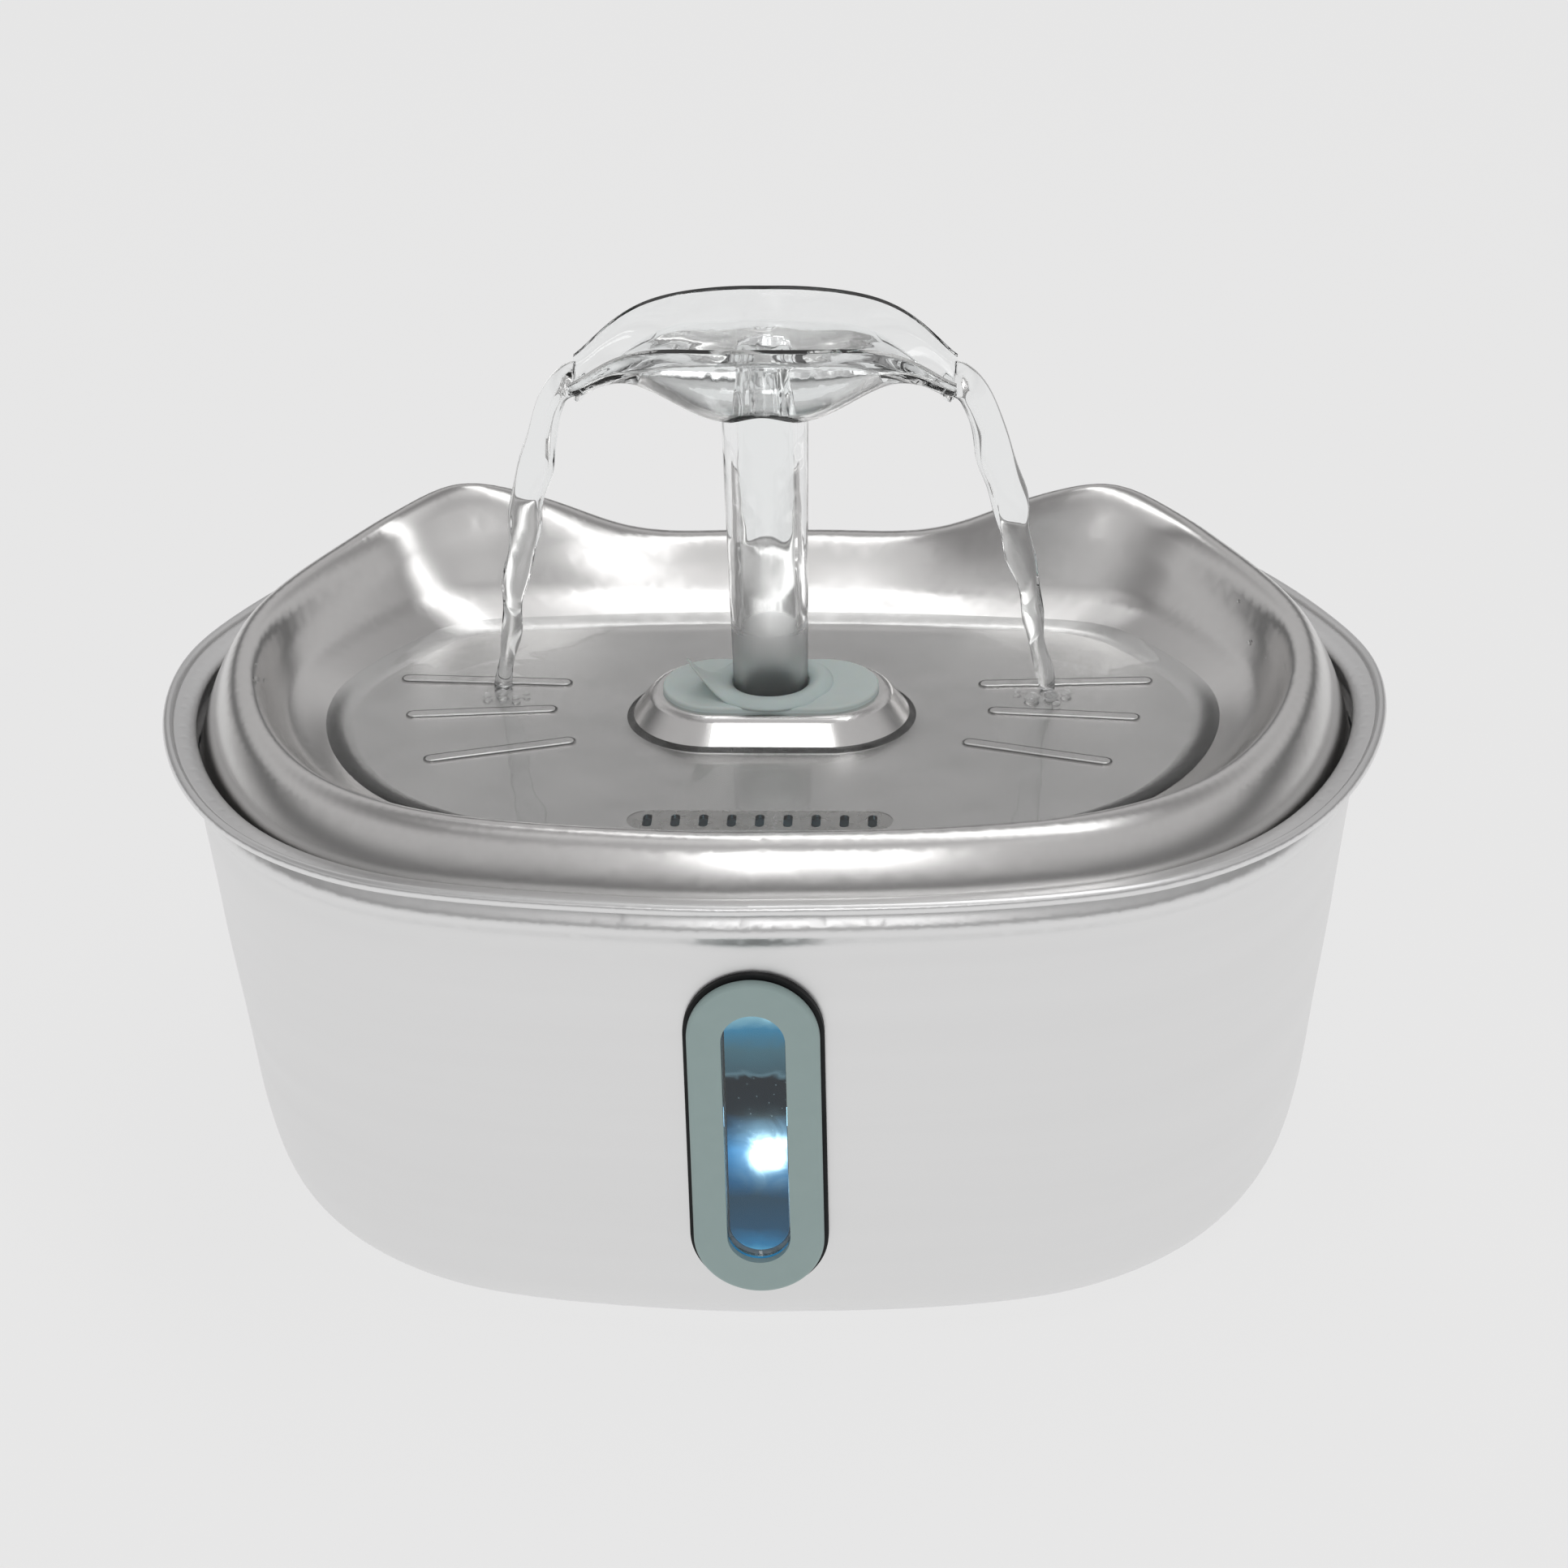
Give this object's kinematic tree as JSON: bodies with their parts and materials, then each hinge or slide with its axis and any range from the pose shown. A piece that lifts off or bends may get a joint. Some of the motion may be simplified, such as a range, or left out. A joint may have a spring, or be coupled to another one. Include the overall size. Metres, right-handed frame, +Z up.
{
  "type": "tabletop water fountain",
  "caption": "Pet drinking fountain: pressed steel tank with level window, lift-out eared tray, clear two-stream spout and submerged pump.",
  "frame": {"origin": "middle of the outline box, on the table under the feet", "axes": "+Z up, front with the level window towards -Y, +X to the right of someone facing the window"},
  "size_m": [0.25, 0.1701, 0.19],
  "materials": {
    "brushed_tank": "satin brushed stainless",
    "satin_tray": "bead-blasted stainless",
    "sage_plastic": "satin moulded",
    "black_rubber": "matt",
    "clear_plastic": "clear moulded",
    "white_plastic": "satin moulded",
    "screw_steel": "bright stainless",
    "teal_silicone": "matt silicone",
    "carbon": "granular",
    "resin": "beads",
    "fleece": "needled",
    "dark_plastic": "moulded",
    "potting_resin": "cast",
    "core_steel": "laminated",
    "copper_wire": "enamelled",
    "lit_board": "board",
    "lit_lens": "lit",
    "shaft_ceramic": "ground",
    "ferrite": "sintered"
  },
  "bodies": {
    "tank": {"tank_shell": "brushed_tank", "window_bezel": "sage_plastic", "window_gasket": "black_rubber", "window_lens": "clear_plastic", "window_clamp": "white_plastic", "window_screws": "screw_steel", "rubber_feet": "black_rubber"},
    "tray": {"drinking_tray": "satin_tray", "tray_strainer": "screw_steel", "tray_seal": "teal_silicone", "riser_tube": "white_plastic", "seal_nut": "white_plastic"},
    "spout": {"spout": "clear_plastic", "spout_o_ring": "black_rubber"},
    "filter": {"filter_housing": "white_plastic", "filter_lid": "white_plastic", "carbon_pack": "carbon", "resin_pack": "resin", "cotton_sheet": "fleece"},
    "pump": {"pump_housing": "dark_plastic", "outlet_nozzle": "dark_plastic", "pump_potting": "potting_resin", "stator_core": "core_steel", "stator_coil": "copper_wire", "cable_gland": "black_rubber", "light_board": "lit_board", "light_lens": "lit_lens", "rear_bush": "black_rubber", "motor_shaft": "shaft_ceramic", "suction_cups": "black_rubber"},
    "pump_cover": {"pump_cover": "dark_plastic", "front_bush": "black_rubber"},
    "rotor": {"rotor_magnet": "ferrite", "impeller": "white_plastic"},
    "flow_knob": {"flow_knob": "dark_plastic"}
  },
  "joints": [
    {"name": "tray_lift", "type": "slide", "parent": "tank", "child": "tray", "axis": [0, 0, 1], "range_m": [0, 0.06]},
    {"name": "spout_pull", "type": "slide", "parent": "tray", "child": "spout", "axis": [0, 0, 1], "range_m": [0, 0.03]},
    {"name": "filter_drop", "type": "slide", "parent": "tray", "child": "filter", "axis": [0, 0, -1], "range_m": [0, 0.01]},
    {"name": "pump_lift", "type": "slide", "parent": "tank", "child": "pump", "axis": [0, 0, 1], "range_m": [0, 0.008]},
    {"name": "cover_pull", "type": "slide", "parent": "pump", "child": "pump_cover", "axis": [0, -1, 0], "range_m": [0, 0.008]},
    {"name": "rotor_spin", "type": "hinge", "parent": "pump", "child": "rotor", "pos_m": [0, 0.0065, 0.0309], "axis": [0, 1, 0], "continuous": true},
    {"name": "flow_turn", "type": "hinge", "parent": "pump", "child": "flow_knob", "pos_m": [0.022, 0.0035, 0.0394], "axis": [1, 0, 0], "range_deg": [0, 90]}
  ]
}
